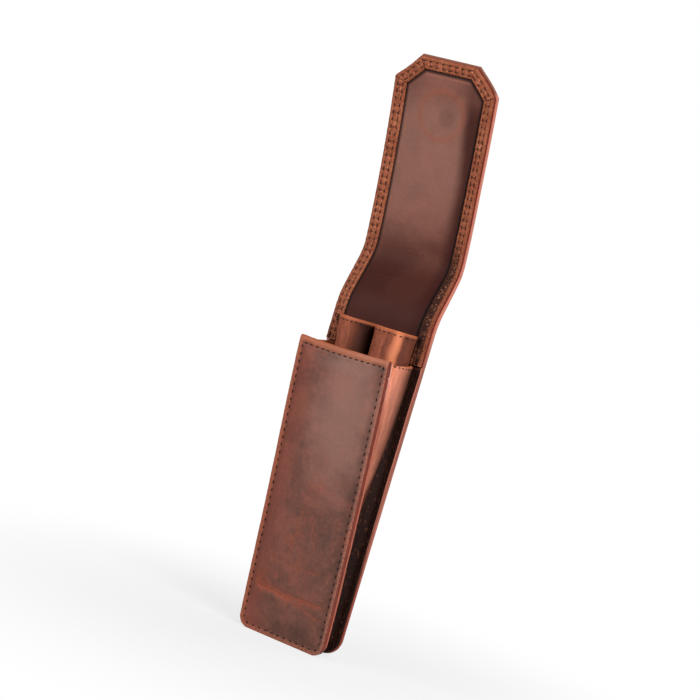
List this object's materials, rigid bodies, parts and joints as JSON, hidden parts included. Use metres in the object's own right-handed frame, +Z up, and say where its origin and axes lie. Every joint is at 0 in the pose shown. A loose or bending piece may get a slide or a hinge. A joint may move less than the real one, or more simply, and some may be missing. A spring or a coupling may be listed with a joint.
{
  "type": "leather pen case",
  "caption": "Slim upright leather pen case: wedge pocket with bellows gusset, inner sleeve with pen tunnels, and a chamfered flap that folds over the front to a hidden magnet.",
  "frame": {"origin": "centre of the bounding box at its bottom, on the surface the case stands on", "axes": "+Z up along the case's length, the front panel faces -Y, +X across its width to the right; the case is the same on both sides of X = 0"},
  "size_m": [0.048, 0.0334, 0.2505],
  "materials": {
    "cover_leather": "oiled pull-up leather, satin, with wear at edges",
    "lining_leather": "smooth, satin",
    "border_leather": "grained, stitched, satin",
    "gusset_leather": "soft, satin",
    "sleeve_leather": "soft, satin",
    "board": "matt grey board",
    "magnet_plate": "nickel plated"
  },
  "bodies": {
    "pocket": {"back_cover": "cover_leather", "back_board": "board", "back_lining": "lining_leather", "back_border_left": "border_leather", "back_border_right": "border_leather", "lower_fold": "cover_leather", "front_cover": "cover_leather", "front_board": "board", "front_lining": "lining_leather", "front_magnet": "magnet_plate", "gusset": "gusset_leather", "pen_sleeve": "sleeve_leather"},
    "top_strip": {"top_cover": "cover_leather", "top_board": "board", "top_lining": "lining_leather", "top_border_left": "border_leather", "top_border_right": "border_leather", "upper_fold": "cover_leather"},
    "flap": {"flap_cover": "cover_leather", "flap_board": "board", "flap_magnet": "magnet_plate", "flap_lining": "lining_leather", "flap_border_left": "border_leather", "flap_border_left_corner": "border_leather", "flap_border_tip": "border_leather", "flap_border_right_corner": "border_leather", "flap_border_right": "border_leather"}
  },
  "joints": [
    {"name": "lower_fold_hinge", "type": "hinge", "parent": "pocket", "child": "top_strip", "pos_m": [0, 0.00678, 0.1408], "axis": [1, 0, 0], "range_deg": [-72, 107]},
    {"name": "upper_fold_hinge", "type": "hinge", "parent": "top_strip", "child": "flap", "pos_m": [0, 0.01472, 0.16661], "axis": [1, 0, 0], "range_deg": [-38, 66]}
  ]
}
